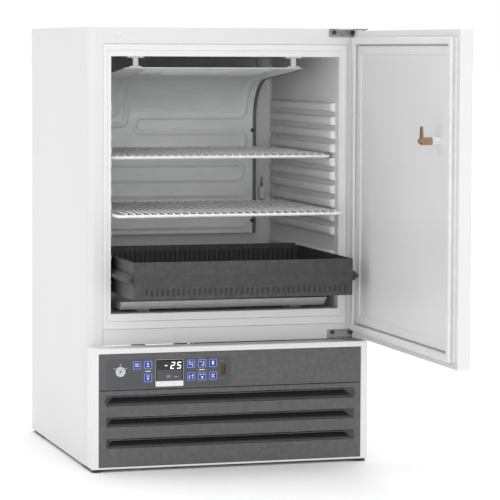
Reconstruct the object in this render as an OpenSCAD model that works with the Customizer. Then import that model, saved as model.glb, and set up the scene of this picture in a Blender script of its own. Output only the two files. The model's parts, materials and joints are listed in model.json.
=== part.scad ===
// Under-bench laboratory freezer with its door open, its drawer and lower shelf drawn out.
// Frame: origin on the floor under the middle of the cabinet, +Z up, front towards -Y, hinges on +X.

/* [Cabinet] */
// Overall width
width = 536; // [530:2:560]
// Overall height
height = 820; // [816:2:850]
// Overall depth with the door closed
depth = 535; // [531:1:560]
// Radius of the cabinet's vertical front corners
corner_r = 15; // [10:1:18]
// Height of the feet
foot_h = 6; // [4:1:6]

/* [Door] */
// Thickness of the door's steel pan
door_t = 24; // [22:1:26]
// Radius of the hinge pins
pin_r = 3; // [2.5:0.1:3.5]
// How far the lock stands off the door's inner side
lock_reach = 37; // [34:1:38]

/* [Shelves and drawer] */
// How far the lower shelf is drawn out
shelf_out = 78; // [0:1:80]
// How far the drawer is pushed back to when the door is closed
tray_travel = 200; // [150:1:200]
// Distance between the shelf wires
wire_pitch = 15; // [14:0.5:20]
// Radius of a shelf wire
wire_r = 1.6; // [1.4:0.1:1.8]

/* [Hidden] */
$fn = 48;

half_w = width / 2;
back_y = depth / 2;
base_front_y = -depth / 2;
base_out = 40;
frame_y = base_front_y + base_out;
sheet = 1.2;
gap = 0.2;

// Front frame and opening
frame_band = 30;
frame_half = half_w - frame_band;
frame_top = height - frame_band;
ledge_z = 230;
rail_top = ledge_z + frame_band;
open_half = half_w - 46;
open_bottom = 289;
open_top = height - 53.5;
liner_t = 1.5;
liner_front_y = frame_y + 20.7;
cavity_back_y = back_y - 59;

// Raised bands on the side walls; the shelves ride in the grooves between them, the drawer between two ribs
rib_out = 9;
rib_pitch = 26.2;
band_h = 16.6;
band_first_z = 670.6;
band_count = 10;
upper_band_z = band_first_z - 4 * rib_pitch;
lower_band_z = band_first_z - 8 * rib_pitch;
tray_rib_h = 11;
tray_rib_z = [391, 346];
rib_front_y = frame_y + 25.5;
rib_back_y = cavity_back_y - 18.5;
rib_x = open_half - rib_out;

// Evaporator
plate_half = 183;
plate_z = 746;
plate_t = 2;
plate_front_y = frame_y + 79.5;
plate_back_y = cavity_back_y - 18.5;
plate_tilt = 5.3;
plate_bend_r = 85;
plate_bottom_z = 404;
bend_y = plate_back_y - plate_bend_r;
roof_len = (bend_y + plate_bend_r * sin(plate_tilt) - plate_front_y) / cos(plate_tilt);
bend_z = plate_z - plate_bend_r * cos(plate_tilt) - roof_len * sin(plate_tilt);
channel_w = 8;
channel_h = 1.5;
channel_pitch = 32;

// Hinges
pin_x = half_w - 8;
pin_y = base_front_y + 15;
pin_fit = 0.04;
plate_x0 = half_w - 68;
plate_x1 = half_w - 18;
leaf_t = 2.5;
leaf_end_r = 8;
screw_x = [half_w - 58, half_w - 21.5];
screw_z = [height - 7.4, 243.8];
plug_x = [-half_w + 24.3, -half_w + 60];
plug_z = height - 10.6;

// Door, drawn closed and then swung open a quarter turn
door_bottom = 237;
door_top = height - 4;
door_out_y = base_front_y + 3;
door_in_y = door_out_y + door_t;
door_sheet = 1;
rim_w = 12;
gasket_w = 13;
gasket_h = frame_y - 0.4 - door_in_y;
band_inset = 28;
field_inset = 43;
bush_r = 6;
bush_len = 14;
lock_x = pin_x - 438;
lock_z = 624;
lock_shaft_r = 5.5;

// Drawer
tray_half = 209.5;
tray_front_y = frame_y - 119.5;
tray_back_y = cavity_back_y - 27.5 - tray_travel;
tray_z0 = 326;
tray_z1 = 394;
tray_wall = 2.5;
tongue_z = 362;
tongue_out = 3.2;

// Front of the base
window_half = half_w - 13.5;
window_z0 = 9.5;
window_z1 = 219.5;
strip_z0 = 152.5;
strip_y = base_front_y + 0.5;
key_w = 15.5;
key_r = 2.5;
key_travel = 0.8;
key_pos = [[-182.7, 197.5], [-161.7, 197.5], [-161.7, 173.8], [-79.3, 197.5], [-58.2, 197.5],
           [-37, 197.5], [-79.3, 173.8], [-58.2, 173.8], [-37, 173.8]];
overlay_x = [-239.4, -1.9];
overlay_z = [155.4, 207.9];
display_x = [-147.5, -93.6];
display_z = [156.3, 206.9];
switch_x = -214;
switch_z = 186.4;
card_x = [-25.3, -8.7];
card_z = [172, 196.6];
slot_half = half_w - 27;
slot_z = [[122.7, 142.3], [83.8, 102], [44, 62]];
grille_screw_z = 131;

// Machine compartment
comp_x = 130;
comp_y = 120;
comp_r = 72;
fan_x = -60;
fan_z = 112;
fan_y = -100;
pipe_r = 4;
pipe_x = 60;
pipe_y = back_y - 34;
pipe_top_z = 600;

// ---------- helpers ----------

// A box given by its low and high corners.
module box(low, high) {
    translate(low) cube(high - low);
}

// A cylinder along Y from y0 to y1.
module rod_y(x, z, y0, y1, r) {
    translate([x, y0, z]) rotate([-90, 0, 0]) cylinder(r = r, h = y1 - y0);
}

// A cylinder along X from x0 to x1.
module rod_x(y, z, x0, x1, r) {
    translate([x0, y, z]) rotate([0, 90, 0]) cylinder(r = r, h = x1 - x0);
}

// Outline of the cabinet seen from above, drawn in by inset.
module cabinet_plan(inset, end_y) {
    r = corner_r - inset;
    half = half_w - inset;
    y0 = frame_y + inset;
    translate([-half, y0 + r]) square([2 * half, end_y - y0 - r]);
    translate([-half + r, y0]) square([2 * (half - r), r + 1]);
    for (s = [-1, 1]) translate([s * (half - r), y0 + r]) circle(r);
}

// A rectangle with rounded corners, centred.
module round_square(w, h, r) {
    square([w - 2 * r, h], center = true);
    square([w, h - 2 * r], center = true);
    for (a = [-1, 1], b = [-1, 1]) translate([a * (w / 2 - r), b * (h / 2 - r)]) circle(r);
}

// A plate in the XZ plane with rounded corners, from y0 to y1.
module round_plate(x, z, w, h, r, y0, y1) {
    translate([x, y1, z]) rotate([90, 0, 0]) linear_extrude(y1 - y0) round_square(w, h, r);
}

// A ring in the XZ plane between two rectangles given as [x0, z0, x1, z1].
module frame_ring(outer, inner, y0, y1) {
    difference() {
        box([outer[0], y0, outer[1]], [outer[2], y1, outer[3]]);
        box([inner[0], y0 - 1, inner[1]], [inner[2], y1 + 1, inner[3]]);
    }
}

// Swings what is drawn on the closed door open by a quarter turn about the hinge pins.
module on_open_door() {
    translate([pin_x, pin_y, 0]) rotate([0, 0, 90]) translate([-pin_x, -pin_y, 0]) children();
}

// A rectangle of the door drawn in by inset, as [x0, z0, x1, z1].
function door_rect(inset) = [-half_w + inset, door_bottom + inset, half_w - inset, door_top - inset];

// ---------- cabinet ----------

module outer_shell() {
    color("white") difference() {
        translate([0, 0, foot_h]) linear_extrude(height - foot_h) cabinet_plan(0, back_y);
        translate([0, 0, foot_h - 1]) linear_extrude(height - foot_h + 1 - sheet)
            cabinet_plan(sheet, back_y + 1);
        box([-frame_half, frame_y - 1, foot_h - 1], [frame_half, frame_y + sheet + 1, frame_top]);
        for (x = screw_x) rod_y(x, screw_z[0], frame_y - 1, frame_y + sheet + 1, 2.6);
        rod_y(screw_x[1], screw_z[1], frame_y - 1, frame_y + sheet + 1, 2.6);
        for (x = plug_x) rod_y(x, plug_z, frame_y - 1, frame_y + sheet + 1, 2.6);
    }
}

module back_panel() {
    slot_w = 60;
    slot_h = 5;
    color("silver") difference() {
        box([-half_w + sheet + gap, back_y - sheet, foot_h + 2 + gap],
            [half_w - sheet - gap, back_y, height - sheet - gap]);
        for (column = [-2:1:2], row = [0:1:7])
            if (column != -2 || row > 3)
                translate([column * 90 - slot_w / 2, back_y - 3, 70 + row * 16]) cube([slot_w, 6, slot_h]);
        box([-205, back_y - 3, 38], [-171, back_y + 1, 66]);
    }
}

module lower_rail() {
    flange = 15;
    seam = 0.6;
    color("white") difference() {
        box([-frame_half + seam, frame_y, ledge_z + sheet + gap],
            [frame_half - seam, frame_y + flange, rail_top]);
        box([-frame_half - 1, frame_y + sheet, ledge_z + 2 * sheet + gap],
            [frame_half + 1, frame_y + flange + 1, rail_top - sheet]);
        rod_y(screw_x[0], screw_z[1], frame_y - 1, frame_y + sheet + 1, 2.6);
    }
}

// Stepped plastic border between the steel frame and the liner.
module breaker_frame() {
    outer = [-frame_half + gap, rail_top + gap, frame_half - gap, frame_top - gap];
    inner = [-open_half, open_bottom, open_half, open_top];
    middle = (outer + inner) / 2;
    back = liner_front_y - gap;
    color("gainsboro") union() {
        frame_ring(outer, middle, frame_y + 0.8, back);
        frame_ring(middle - [1, 1, -1, -1], inner, frame_y + 2.5, back);
    }
}

// One rib on the right side wall, with a rounded front end.
module wall_rib(z, h) {
    y_round = rib_front_y + rib_out;
    box([rib_x, y_round, z - h / 2], [open_half + 0.5, rib_back_y, z + h / 2]);
    intersection() {
        translate([open_half, y_round, z - h / 2]) cylinder(r = rib_out, h = h);
        box([rib_x - 1, rib_front_y - 1, z - h], [open_half + 0.5, y_round + 1, z + h]);
    }
}

// All ribs of the right side wall and the low strip that joins the upper ones at the back.
module wall_ribs() {
    strip_w = 8;
    strip_out = 2.7;
    for (k = [0:1:band_count - 1]) wall_rib(band_first_z - k * rib_pitch, band_h);
    for (z = tray_rib_z) wall_rib(z, tray_rib_h);
    box([open_half - strip_out, rib_back_y - strip_w - 1, band_first_z - (band_count - 1) * rib_pitch],
        [open_half + 0.5, rib_back_y - 1, band_first_z]);
}

module inner_liner() {
    color("whitesmoke") difference() {
        union() {
            difference() {
                box([-open_half - liner_t, liner_front_y, open_bottom - liner_t],
                    [open_half + liner_t, cavity_back_y + liner_t, open_top + liner_t]);
                box([-open_half, liner_front_y - 1, open_bottom], [open_half, cavity_back_y, open_top]);
            }
            wall_ribs();
            mirror([1, 0, 0]) wall_ribs();
        }
        rod_y(pipe_x, pipe_top_z, cavity_back_y - 1, cavity_back_y + liner_t + 1, pipe_r + 0.3);
    }
}

module insulation_foam() {
    edge = sheet + gap;
    skin = liner_t + gap;
    color("khaki") difference() {
        box([-half_w + edge, liner_front_y + 0.1, ledge_z + sheet + gap],
            [half_w - edge, back_y - edge, height - edge]);
        box([-open_half - skin, liner_front_y - 1, open_bottom - skin],
            [open_half + skin, cavity_back_y + skin, open_top + skin]);
        // channel for the suction pipe
        translate([pipe_x, pipe_y, ledge_z - 5]) cylinder(r = pipe_r + 0.3, h = pipe_top_z - ledge_z + 10);
        rod_y(pipe_x, pipe_top_z, cavity_back_y - 1, pipe_y, pipe_r + 0.3);
    }
}

// ---------- evaporator and inner fittings ----------

// Places children drawn in the plane of the evaporator's sloping roof part, from its front edge.
module on_roof_part() {
    translate([0, plate_front_y, plate_z]) rotate([-plate_tilt, 0, 0]) children();
}

// Height of the roof part's upper face at a distance behind its front edge.
function roof_part_z(behind) = plate_z - behind * tan(plate_tilt);

// Bent evaporator sheet: roof part that falls to the back, large bend and back part.
module bent_plate() {
    on_roof_part() box([-plate_half, 0, -plate_t], [plate_half, roof_len, 0]);
    box([-plate_half, plate_back_y - plate_t, plate_bottom_z], [plate_half, plate_back_y, bend_z]);
    translate([-plate_half, bend_y, bend_z]) rotate([90, 0, 90]) rotate_extrude(angle = 90 - plate_tilt)
        translate([plate_bend_r - plate_t, 0]) square([plate_t, 2 * plate_half]);
}

// Winding channel in the plane, with its first run at y = 0 and U-bends between the runs.
module winding_channel(runs, half_len) {
    w = channel_w;
    for (k = [0:1:runs]) translate([-half_len, k * channel_pitch - w / 2]) square([2 * half_len, w]);
    for (k = [0:1:runs - 1]) mirror([k % 2, 0, 0]) intersection() {
        translate([half_len, (k + 0.5) * channel_pitch]) difference() {
            circle((channel_pitch + w) / 2);
            circle((channel_pitch - w) / 2);
        }
        translate([half_len, (k - 0.5) * channel_pitch]) square([channel_pitch, 2 * channel_pitch]);
    }
}

module evaporator_plate() {
    run_half = plate_half - 44;
    roof_runs = floor((roof_len - 40) / channel_pitch);
    back_runs = floor((bend_z - plate_bottom_z - 20) / channel_pitch);
    notch = 14;
    color("lightgray") union() {
        difference() {
            bent_plate();
            // rounded front corners of the roof part
            on_roof_part() for (s = [-1, 1]) difference() {
                translate([s * plate_half, 0, -1]) cube([2 * notch, 2 * notch, 8], center = true);
                translate([s * (plate_half - notch), notch, -10]) cylinder(r = notch, h = 20);
            }
        }
        // pressed channels under the roof part and on the back part
        on_roof_part() translate([0, 24, -plate_t - channel_h])
            linear_extrude(channel_h + 0.5) winding_channel(roof_runs, run_half);
        translate([0, plate_back_y - plate_t + 0.5, plate_bottom_z + 16]) rotate([90, 0, 0])
            linear_extrude(channel_h + 0.5) winding_channel(back_runs, run_half);
    }
}

// Four plastic clips that hang the evaporator sheet under the roof, in a front and a back pair.
module plate_hangers() {
    clip_x = 156;
    foot_t = 2.2;
    color("white") for (s = [-1, 1], behind = [4, 230]) translate([s * clip_x, plate_front_y + behind, 0]) {
        box([-5, -3, roof_part_z(behind - 4) + gap], [5, 3, open_top - gap]);
        box([-16, -4, open_top - 3], [16, 4, open_top - gap]);
        box([-12, -4, roof_part_z(behind - 4) + gap], [12, 4, roof_part_z(behind - 4) + gap + foot_t]);
    }
}

module plate_screws() {
    color("silver") for (s = [-1, 1], z = [430, 615]) {
        rod_y(s * 175, z, plate_back_y - plate_t - 2.4, plate_back_y - plate_t - 0.1, 4);
        rod_y(s * 175, z, plate_back_y + 0.1, cavity_back_y - 0.1, 5);
    }
}

module sensor_clip() {
    color("white") difference() {
        union() {
            box([193.5, cavity_back_y - 3, 468.5], [205.6, cavity_back_y - gap, 503.8]);
            box([194.5, cavity_back_y - 13, 474], [204.6, cavity_back_y - 2.8, 498]);
        }
        translate([199.5, cavity_back_y - 8, 460]) cylinder(r = 3.3, h = 60);
    }
}

module temperature_probe() {
    color("dimgray") translate([199.5, cavity_back_y - 8, 466]) {
        cylinder(r = 3, h = 40);
        translate([0, 0, 39]) cylinder(r = 1.5, h = 14);
    }
}

// Clear tray that lies on the cavity floor under the drawer.
module drip_tray() {
    half = 201;
    front = frame_y + 1.5;
    z0 = open_bottom + gap;
    z1 = 311;
    wall = 2;
    back = cavity_back_y - 30;
    color("lightcyan") difference() {
        union() {
            box([-half, front + 22, z0 + 5], [half, back, z1]);
            translate([-half, 0, 0]) rotate([90, 0, 90]) linear_extrude(2 * half)
                polygon([[front, z1], [front + 22, z0 + 5], [front + 24, z0 + 5], [front + 24, z1]]);
            for (s = [-1, 1], y = [front + 40, back - 60])
                box([s * 150 - 12, y, z0], [s * 150 + 12, y + 24, z0 + 5.5]);
        }
        box([-half + wall, front + 24, z0 + 5 + wall], [half - wall, back - wall, z1 + 1]);
        translate([-half + wall, 0, 0]) rotate([90, 0, 90]) linear_extrude(2 * (half - wall))
            polygon([[front + 3.4, z1 + 1], [front + 23.6, z0 + 5 + wall], [front + 25, z0 + 5 + wall],
                     [front + 25, z1 + 1]]);
    }
}

// ---------- base ----------

module base_surround() {
    wall = 2.5;
    color("white") difference() {
        box([-half_w, base_front_y, foot_h], [half_w, frame_y - gap, ledge_z]);
        box([-window_half, base_front_y - 1, window_z0], [window_half, frame_y + 1, window_z1]);
        // hollow back of the side borders and of the top border
        for (s = [-1, 1])
            box([s * (half_w + window_half) / 2 - 4, base_front_y + wall, window_z0],
                [s * (half_w + window_half) / 2 + 4, frame_y + 1, ledge_z - 12]);
        box([-window_half + 10, base_front_y + wall, window_z1 + wall],
            [window_half - 10, frame_y + 1, ledge_z - wall]);
    }
}

module deck_sheet() {
    color("silver") difference() {
        box([-half_w + sheet + gap, frame_y + 17, ledge_z],
            [half_w - sheet - gap, back_y - sheet - gap, ledge_z + sheet]);
        translate([pipe_x, pipe_y, ledge_z - 1]) cylinder(r = pipe_r + 0.3, h = sheet + 2);
    }
}

module base_plate() {
    plate_bottom_t = 2;
    color("silver") difference() {
        translate([0, 0, foot_h]) linear_extrude(plate_bottom_t) cabinet_plan(sheet + gap, back_y - 0.02);
        for (a = [-1, 1], b = [-1, 1])
            translate([comp_x + a * 62, comp_y + b * 62, foot_h - 1]) cylinder(r = 4, h = 4);
    }
}

module feet() {
    color("black") for (s = [-1, 1], y = [-262, 167]) translate([s * 257 - 9, y, 0])
        cube([18, 85, foot_h - 0.05]);
}

// ---------- hinges ----------

// Bracket for the top hinge: a screwed plate and a leaf that reaches forward to the pin.
module hinge_bracket(plate_low, plate_high, leaf_low, holes_z) {
    difference() {
        union() {
            box([plate_x0, frame_y - 1.5, plate_low], [plate_x1, frame_y - 0.02, plate_high]);
            translate([0, 0, leaf_low]) linear_extrude(leaf_t) {
                polygon([[plate_x0 + 12, frame_y - 0.02], [plate_x1, frame_y - 0.02],
                         [pin_x + leaf_end_r, pin_y + 5], [pin_x + leaf_end_r, pin_y],
                         [pin_x, pin_y - leaf_end_r], [pin_x - 4, pin_y - leaf_end_r + 1.1]]);
                translate([pin_x, pin_y]) circle(leaf_end_r);
            }
        }
        translate([pin_x, pin_y, leaf_low - 1]) cylinder(r = pin_r + pin_fit, h = leaf_t + 2);
        for (x = screw_x) rod_y(x, holes_z, frame_y - 3, frame_y + 1, 2.6);
    }
}

module hinge_brackets() {
    color("silver") {
        hinge_bracket(height - 15.5, height, height - leaf_t, screw_z[0]);
        hinge_bracket(ledge_z + 1, 249, ledge_z + 1, screw_z[1]);
    }
}

module hinge_pins() {
    color("silver") for (z = [[height - 18, height - 0.1], [ledge_z + 1.1, ledge_z + 22]])
        translate([pin_x, pin_y, z[0]]) cylinder(r = pin_r, h = z[1] - z[0]);
}

// Pan-head screws with a cross recess.
module hinge_screws() {
    color("gray") for (x = screw_x, z = screw_z) difference() {
        union() {
            rod_y(x, z, frame_y - 3.7, frame_y - 1.6, 4.2);
            rod_y(x, z, frame_y - 2, frame_y + 8, 2);
        }
        box([x - 2.4, frame_y - 5, z - 0.5], [x + 2.4, frame_y - 2.7, z + 0.5]);
        box([x - 0.5, frame_y - 5, z - 2.4], [x + 0.5, frame_y - 2.7, z + 2.4]);
    }
}

module hole_plugs() {
    color("lightgray") for (x = plug_x) {
        rod_y(x, plug_z, frame_y - 1.2, frame_y - 0.1, 4);
        rod_y(x, plug_z, frame_y - 0.5, frame_y + 5, 2.4);
    }
}

// ---------- machine compartment ----------

module compressor() {
    z0 = foot_h + 18;
    color("black") translate([comp_x, comp_y, z0]) union() {
        rotate_extrude() polygon([[0, 0], [comp_r - 14, 0], [comp_r, 14], [comp_r, 66], [comp_r + 3, 66],
                                  [comp_r + 3, 72], [comp_r, 72], [comp_r, 116], [comp_r - 26, 142], [0, 148]]);
        difference() {
            translate([-comp_r, -comp_r, -3]) cube([2 * comp_r, 2 * comp_r, 3.5]);
            for (a = [-1, 1], b = [-1, 1]) translate([a * 62, b * 62, -4]) cylinder(r = 5.2, h = 6);
        }
    }
}

module compressor_mounts() {
    color("dimgray") for (a = [-1, 1], b = [-1, 1])
        translate([comp_x + a * 62, comp_y + b * 62, foot_h + 2.1]) {
            cylinder(r = 9, h = 12.7);
            cylinder(r = 4.8, h = 20);
            translate([0, 0, -3]) cylinder(r = 3.8, h = 4);
        }
}

module terminal_box() {
    color("dimgray") box([comp_x - comp_r - 42, comp_y - 30, 48], [comp_x - comp_r - 4, comp_y + 30, 112]);
}

// Finned coil behind the grille.
module condenser() {
    x0 = -170;
    x1 = 50;
    y0 = -200;
    y1 = -150;
    z0 = 24;
    z1 = 200;
    color("silver") union() {
        for (x = [x0:10:x1]) box([x - 0.5, y0, z0], [x + 0.5, y1, z1]);
        for (z = [z0 + 16:24:z1 - 8], y = [y0 + 14, y1 - 14]) rod_x(y, z, x0 - 10, x1 + 10, 4);
        for (x = [x0 - 10, x1 + 8]) box([x, y0, foot_h + 2.2], [x + 2, y1, z1]);
    }
}

module fan_motor() {
    color("dimgray") union() {
        rod_y(fan_x, fan_z, fan_y, fan_y + 42, 28);
        rod_y(fan_x, fan_z, fan_y - 22, fan_y + 1, 3);
        box([fan_x - 10, fan_y + 8, foot_h + 2.2], [fan_x + 10, fan_y + 34, fan_z - 20]);
        box([fan_x - 30, fan_y + 4, foot_h + 2.2], [fan_x + 30, fan_y + 38, foot_h + 5]);
    }
}

module fan_blade() {
    blades = 5;
    blade_r = 74;
    color("gray") difference() {
        union() {
            rod_y(fan_x, fan_z, fan_y - 22, fan_y - 6, 16);
            for (k = [0:1:blades - 1]) translate([fan_x, fan_y - 14, fan_z]) rotate([0, k * 360 / blades, 0])
                rotate([0, 0, 24]) translate([-15, -1, 12]) cube([30, 2, blade_r - 12]);
        }
        rod_y(fan_x, fan_z, fan_y - 24, fan_y - 4, 3.05);
    }
}

// Pan on top of the compressor where the melt water dries off.
module evaporation_pan() {
    color("black") difference() {
        box([comp_x - 80, comp_y - 60, 174], [comp_x + 80, comp_y + 60, 196]);
        box([comp_x - 78, comp_y - 58, 176], [comp_x + 78, comp_y + 58, 197]);
    }
}

// Appliance inlet in the back panel; the cord is left out.
module power_inlet() {
    color("black") difference() {
        union() {
            box([-204.7, back_y - 24, 38.3], [-171.3, back_y - 0.2, 65.7]);
            box([-208, back_y - 6, 34], [-168, back_y - sheet - 0.1, 70]);
        }
        box([-200, back_y - 18, 43], [-176, back_y + 1, 61]);
    }
}

module suction_pipe() {
    z0 = 160;
    color("peru") {
        translate([pipe_x, pipe_y, z0]) cylinder(r = pipe_r, h = pipe_top_z - z0);
        translate([pipe_x, pipe_y, pipe_top_z]) sphere(pipe_r);
        rod_y(pipe_x, pipe_top_z, plate_back_y + 0.4, pipe_y, pipe_r);
        translate([pipe_x, pipe_y, z0]) sphere(pipe_r);
        rod_y(pipe_x, z0, comp_y + 30, pipe_y, pipe_r);
    }
}

// ---------- front panel ----------

module control_strip() {
    wall = 2.5;
    top = window_z1 - gap;
    half = window_half - gap;
    color("#505050") difference() {
        box([-half, strip_y, strip_z0], [half, strip_y + 25, top]);
        box([-half + wall, strip_y + wall, strip_z0 + wall], [half - wall, strip_y + 26, top - wall]);
        for (p = key_pos)
            round_plate(p[0], p[1], key_w + 0.7, key_w + 0.7, key_r + 0.3, strip_y - 1, strip_y + 4);
        box([display_x[0] + 3, strip_y - 1, display_z[0] + 3],
            [display_x[1] - 3, strip_y + 4, display_z[1] - 3]);
        rod_y(switch_x, switch_z, strip_y - 1, strip_y + 4, 8.2);
        box([card_x[0] + 1, strip_y - 1, card_z[0] + 1], [card_x[1] - 1, strip_y + 4, card_z[1] - 1]);
    }
}

module keypad_overlay() {
    w = overlay_x[1] - overlay_x[0];
    h = overlay_z[1] - overlay_z[0];
    color("#464850") difference() {
        round_plate((overlay_x[0] + overlay_x[1]) / 2, (overlay_z[0] + overlay_z[1]) / 2, w, h, 4,
                    base_front_y, strip_y - 0.02);
        for (p = key_pos)
            round_plate(p[0], p[1], key_w + 0.7, key_w + 0.7, key_r + 0.3, base_front_y - 1, strip_y + 1);
        box([display_x[0] - 0.1, base_front_y - 1, display_z[0] - 0.1],
            [display_x[1] + 0.1, strip_y + 1, display_z[1] + 0.1]);
        rod_y(switch_x, switch_z, base_front_y - 1, strip_y + 1, 9.7);
        box([card_x[0] - 0.1, base_front_y - 1, card_z[0] - 0.1],
            [card_x[1] + 0.1, strip_y + 1, card_z[1] + 0.1]);
    }
}

module key_cap(index) {
    p = key_pos[index];
    color("navy") round_plate(p[0], p[1], key_w, key_w, key_r, base_front_y - key_travel, base_front_y + 6);
}

module display_bezel() {
    color("black") difference() {
        union() {
            box([display_x[0], base_front_y, display_z[0]], [display_x[1], strip_y - 0.02, display_z[1]]);
            box([display_x[0] + 3.3, strip_y - 0.1, display_z[0] + 3.3],
                [display_x[1] - 3.3, strip_y + 6, display_z[1] - 3.3]);
        }
        box([display_x[0] + 6, base_front_y - 1, display_z[1] - 21],
            [display_x[1] - 2.4, base_front_y + 2, display_z[1] - 2.4]);
    }
}

// One upright or level bar of a digit.
module segment(x, z, w, h) {
    translate([x - w / 2, base_front_y + 1.1, z - h / 2]) cube([w, 0.85, h]);
}

// A minus sign and two seven-segment digits.
module display_digits() {
    cz = display_z[1] - 11.7;
    bar = 6;
    thick = 1.3;
    minus_x = -127.5;
    two_x = -114;
    five_x = -101.5;
    color("white") {
        segment(minus_x, cz, 5, thick);
        for (x = [two_x, five_x], k = [-1:1:1]) segment(x, cz + k * (bar + 0.6), bar - 1.6, thick);
        segment(two_x + bar / 2, cz + 3.3, thick, bar - 1);
        segment(two_x - bar / 2, cz - 3.3, thick, bar - 1);
        segment(five_x - bar / 2, cz + 3.3, thick, bar - 1);
        segment(five_x + bar / 2, cz - 3.3, thick, bar - 1);
    }
}

module circuit_board() {
    y0 = strip_y + 11;
    color("darkgreen") union() {
        box([overlay_x[0] + 45, y0, strip_z0 + 5], [overlay_x[1] + 20, y0 + 1.6, window_z1 - 6]);
        box([-90, y0 + 1.5, 170], [-60, y0 + 7, 190]);
        box([-170, y0 + 1.5, 165], [-130, y0 + 9, 200]);
    }
}

module card_slot() {
    color("saddlebrown") difference() {
        union() {
            box([card_x[0], base_front_y, card_z[0]], [card_x[1], strip_y - 0.02, card_z[1]]);
            box([card_x[0] + 1.3, strip_y - 0.1, card_z[0] + 1.3],
                [card_x[1] - 1.3, strip_y + 7, card_z[1] - 1.3]);
        }
        box([card_x[0] + 4, base_front_y - 1, card_z[0] + 4],
            [card_x[1] - 4, base_front_y + 5, card_z[1] - 4]);
    }
}

// Rounded housing of the key switch, with a bore for its barrel.
module key_switch_housing() {
    color("silver") difference() {
        union() {
            rod_y(switch_x, switch_z, base_front_y - 1.5, strip_y - 0.02, 9.5);
            rod_y(switch_x, switch_z, strip_y - 0.1, strip_y + 22, 8);
        }
        rod_y(switch_x, switch_z, base_front_y - 3, strip_y + 23, 5.05);
    }
}

module key_switch_barrel() {
    color("gray") difference() {
        rod_y(switch_x, switch_z, base_front_y - 1.9, strip_y + 20, 5);
        box([switch_x - 0.7, base_front_y - 3, switch_z - 3.6],
            [switch_x + 0.7, base_front_y + 4, switch_z + 3.6]);
    }
}

// Hooded grille with three long slots, each with a sloping blade and a thin bar.
module grille() {
    wall = 2.5;
    half = window_half - gap;
    z0 = window_z0 + gap;
    z1 = strip_z0 - 1.5;
    front = strip_y;
    color("#505050") union() {
        difference() {
            box([-half, front, z0], [half, front + 26, z1]);
            box([-half + wall, front + wall, z0 + wall], [half - wall, front + 27, z1 - wall]);
            for (s = slot_z) box([-slot_half, front - 1, s[0]], [slot_half, front + wall + 1, s[1]]);
            for (s = [-1, 1]) rod_y(s * slot_half, grille_screw_z, front - 1, front + 1.2, 4.4);
            for (s = [-1, 1]) rod_y(s * slot_half, grille_screw_z, front - 1, front + 4, 2.2);
        }
        for (s = slot_z) {
            // blade that falls back and down from above the slot, and the bar across it
            translate([-half + wall - 0.5, 0, 0]) rotate([90, 0, 90]) linear_extrude(2 * (half - wall + 0.5))
                polygon([[front + wall - 0.5, s[0]], [front + wall - 0.5, s[0] - 2], [front + 22, s[0] + 10],
                         [front + 22, s[0] + 12]]);
            box([-slot_half - 0.5, front + 1, s[1] - 6], [slot_half + 0.5, front + 2.4, s[1] - 4]);
        }
    }
}

module grille_screws() {
    color("dimgray") for (s = [-1, 1]) difference() {
        union() {
            rod_y(s * slot_half, grille_screw_z, strip_y - 0.4, strip_y + 1.1, 4);
            rod_y(s * slot_half, grille_screw_z, strip_y + 1, strip_y + 11, 1.9);
        }
        box([s * slot_half - 2.4, strip_y - 2, grille_screw_z - 0.5],
            [s * slot_half + 2.4, strip_y + 0.6, grille_screw_z + 0.5]);
        box([s * slot_half - 0.5, strip_y - 2, grille_screw_z - 2.4],
            [s * slot_half + 0.5, strip_y + 0.6, grille_screw_z + 2.4]);
    }
}

// ---------- door, drawn closed ----------

module door_plan(inset) {
    r = 4 - inset;
    half = half_w - inset;
    y0 = door_out_y + inset;
    translate([-half, y0 + r]) square([2 * half, door_in_y - inset - y0 - r]);
    translate([-half + r, y0]) square([2 * (half - r), r + 1]);
    for (s = [-1, 1]) translate([s * (half - r), y0 + r]) circle(r);
}

module bush_holes(r) {
    for (z = [door_top - bush_len - 1, door_bottom - 1])
        translate([pin_x, pin_y, z]) cylinder(r = r, h = bush_len + 2);
}

module door_shell() {
    window = door_rect(rim_w);
    color("white") on_open_door() difference() {
        translate([0, 0, door_bottom]) linear_extrude(door_top - door_bottom) door_plan(0);
        translate([0, 0, door_bottom + door_sheet]) linear_extrude(door_top - door_bottom - 2 * door_sheet)
            door_plan(door_sheet);
        box([window[0], door_in_y - 3, window[1]], [window[2], door_in_y + 1, window[3]]);
        bush_holes(bush_r + gap);
        rod_y(lock_x, lock_z, door_out_y - 1, door_out_y + 3, 7.7);
    }
}

module door_liner() {
    edge = door_rect(rim_w + gap);
    band = door_rect(band_inset);
    field = door_rect(field_inset);
    band_y = door_in_y + 5;
    field_y = door_in_y + 3;
    t = 1.5;
    color("whitesmoke") on_open_door() difference() {
        union() {
            box([edge[0], door_in_y - t, edge[1]], [edge[2], door_in_y, edge[3]]);
            box([band[0], door_in_y - t, band[1]], [band[2], band_y, band[3]]);
        }
        box([band[0] + t, door_in_y - t - 1, band[1] + t], [band[2] - t, field_y - t, band[3] - t]);
        box([field[0], field_y, field[1]], [field[2], band_y + 1, field[3]]);
        rod_y(lock_x, lock_z, field_y - 0.6, field_y + 1, 27);
        rod_y(lock_x, lock_z, door_in_y - 3, band_y + 1, 7.7);
    }
}

module door_foam() {
    skin = door_sheet + gap;
    r = door_rect(skin);
    color("khaki") on_open_door() difference() {
        box([r[0] + 3, door_out_y + skin, r[1]], [r[2] - 3, door_in_y - 1.5 - gap, r[3]]);
        bush_holes(bush_r + gap);
        rod_y(lock_x, lock_z, door_out_y - 1, door_in_y + 1, 7.7);
    }
}

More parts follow.
